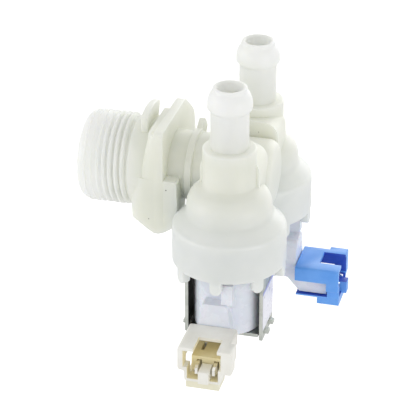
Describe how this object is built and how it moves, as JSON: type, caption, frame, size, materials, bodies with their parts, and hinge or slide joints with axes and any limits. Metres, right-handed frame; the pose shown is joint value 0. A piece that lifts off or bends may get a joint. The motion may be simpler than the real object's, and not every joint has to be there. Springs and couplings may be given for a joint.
{
  "type": "washing machine inlet valve",
  "caption": "Solenoid water inlet valve with a threaded hose inlet, a panel flange, upright barbed outlets and plug-in coils.",
  "frame": {"origin": "On the inlet's axis, in the plane of the flange's panel side.", "axes": "-X points out of the hose inlet, +Z along the outlet nozzles, Y across the two valves."},
  "size_m": [0.0737, 0.0763, 0.0798],
  "materials": {
    "nylon": "satin",
    "mesh": "satin",
    "rubber": "matte",
    "hub": "satin",
    "steel": "brushed",
    "spring": "polished",
    "bobbin": "satin",
    "copper": "enamelled",
    "coil": "satin",
    "zinc": "galvanised",
    "tin": "tinned",
    "cream": "satin",
    "blue": "satin"
  },
  "bodies": {
    "housing": {"valve_body": "nylon", "inlet_filter": "mesh", "flow_washer": "rubber", "front_diaphragm": "rubber", "front_plunger_guide": "nylon", "front_plunger_spring": "spring", "front_bobbin": "bobbin", "front_winding": "copper", "front_coil_case": "coil", "front_yoke": "zinc", "front_yoke_base": "zinc", "front_shroud": "cream", "front_terminal_1": "tin", "front_terminal_2": "tin", "rear_diaphragm": "rubber", "rear_plunger_guide": "nylon", "rear_plunger_spring": "spring", "rear_bobbin": "bobbin", "rear_winding": "copper", "rear_coil_case": "coil", "rear_yoke": "zinc", "rear_yoke_base": "zinc", "rear_shroud": "blue", "rear_terminal_1": "tin", "rear_terminal_2": "tin"},
    "front_plunger_body": {"front_plunger": "steel", "front_plunger_seat": "rubber"},
    "front_hub_body": {"front_diaphragm_hub": "hub"},
    "rear_plunger_body": {"rear_plunger": "steel", "rear_plunger_seat": "rubber"},
    "rear_hub_body": {"rear_diaphragm_hub": "hub"}
  },
  "joints": [
    {"name": "front_plunger_slide", "type": "slide", "parent": "housing", "child": "front_plunger_body", "axis": [0, 0, -1], "range_m": [0, 0.0024], "stiffness_N_per_m": 150, "springref_m": -0.004, "deforming": ["front_plunger_spring"]},
    {"name": "front_diaphragm_lift", "type": "slide", "parent": "housing", "child": "front_hub_body", "axis": [0, 0, -1], "range_m": [0, 0.0018]},
    {"name": "rear_plunger_slide", "type": "slide", "parent": "housing", "child": "rear_plunger_body", "axis": [0, 0, -1], "range_m": [0, 0.0024], "stiffness_N_per_m": 150, "springref_m": -0.004, "deforming": ["rear_plunger_spring"]},
    {"name": "rear_diaphragm_lift", "type": "slide", "parent": "housing", "child": "rear_hub_body", "axis": [0, 0, -1], "range_m": [0, 0.0018]}
  ],
  "couplings": [
    {"joint": "front_diaphragm_lift", "follows": "front_plunger_slide", "ratio": 0.75},
    {"joint": "rear_diaphragm_lift", "follows": "rear_plunger_slide", "ratio": 0.75}
  ]
}
